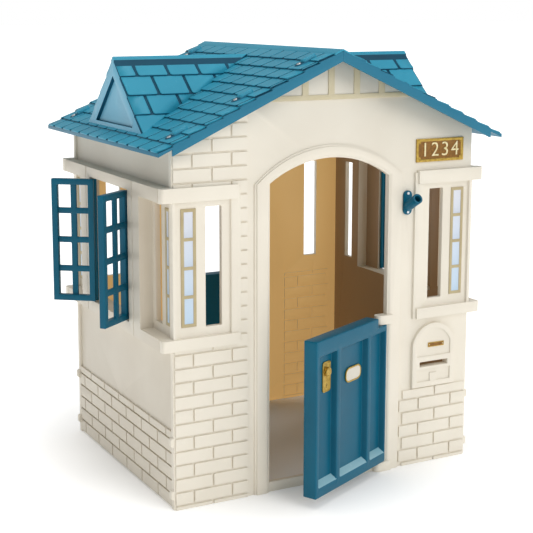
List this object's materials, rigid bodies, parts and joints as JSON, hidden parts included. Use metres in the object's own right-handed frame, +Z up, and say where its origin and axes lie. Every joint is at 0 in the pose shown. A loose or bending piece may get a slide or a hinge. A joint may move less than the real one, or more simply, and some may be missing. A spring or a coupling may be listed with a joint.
{
  "type": "playhouse",
  "caption": "Child's plastic playhouse with brick-pattern walls, shingled gable roof with side dormers, half doors in arched doorways, swinging shutters, mail slot and flag holder.",
  "frame": {"origin": "middle of the front threshold's underside, on the ground", "axes": "+X along the front wall to the right as seen by a visitor facing it, +Y from the front wall to the back wall, +Z up"},
  "size_m": [1.2718, 1.0108, 1.27],
  "materials": {
    "cream_wall": "satin",
    "blue_roof": "satin",
    "teal_plastic": "satin",
    "tan_timber": "satin",
    "printed_light": "gloss",
    "brass_print": "gloss",
    "badge_print": "gloss",
    "steel_screw": "satin",
    "pin_plastic": "satin"
  },
  "bodies": {
    "house": {"back_door_pins": "pin_plastic", "back_gable_timber": "tan_timber", "back_mock_lights": "printed_light", "back_wall": "cream_wall", "flag_holder": "teal_plastic", "flag_holder_screws": "steel_screw", "front_door_pins": "pin_plastic", "front_gable_timber": "tan_timber", "front_mock_lights": "printed_light", "front_wall": "cream_wall", "left_dormer": "blue_roof", "left_mock_lights": "printed_light", "left_roof_panel": "blue_roof", "left_shutter_pins": "pin_plastic", "left_wall": "cream_wall", "mailbox_label": "brass_print", "number_plate": "brass_print", "ridge_cap": "blue_roof", "right_dormer": "blue_roof", "right_mock_lights": "printed_light", "right_roof_panel": "blue_roof", "right_shutter_pins": "pin_plastic", "right_wall": "cream_wall", "roof_screws": "steel_screw"},
    "front_half_door": {"front_door": "teal_plastic", "front_lock_plate": "brass_print", "front_door_badge": "badge_print"},
    "back_half_door": {"back_door": "teal_plastic", "back_lock_plate": "brass_print"},
    "left_front_leaf": {"left_front_shutter": "teal_plastic"},
    "left_rear_leaf": {"left_rear_shutter": "teal_plastic"},
    "right_front_leaf": {"right_front_shutter": "teal_plastic"},
    "right_rear_leaf": {"right_rear_shutter": "teal_plastic"}
  },
  "joints": [
    {"name": "front_door_hinge", "type": "hinge", "parent": "house", "child": "front_half_door", "pos_m": [0.173, -0.009, 0.2565], "axis": [0, 0, 1], "range_deg": [-26.3, 83.7]},
    {"name": "back_door_hinge", "type": "hinge", "parent": "house", "child": "back_half_door", "pos_m": [-0.173, 0.758, 0.2565], "axis": [0, 0, 1], "range_deg": [0, 110]},
    {"name": "left_front_shutter_hinge", "type": "hinge", "parent": "house", "child": "left_front_leaf", "pos_m": [-0.519, 0.2415, 0.684], "axis": [0, 0, 1], "range_deg": [-127, 13]},
    {"name": "left_rear_shutter_hinge", "type": "hinge", "parent": "house", "child": "left_rear_leaf", "pos_m": [-0.519, 0.5075, 0.684], "axis": [0, 0, -1], "range_deg": [-127, 13]},
    {"name": "right_front_shutter_hinge", "type": "hinge", "parent": "house", "child": "right_front_leaf", "pos_m": [0.519, 0.2415, 0.684], "axis": [0, 0, -1], "range_deg": [-127, 13]},
    {"name": "right_rear_shutter_hinge", "type": "hinge", "parent": "house", "child": "right_rear_leaf", "pos_m": [0.519, 0.5075, 0.684], "axis": [0, 0, 1], "range_deg": [-127, 13]}
  ]
}
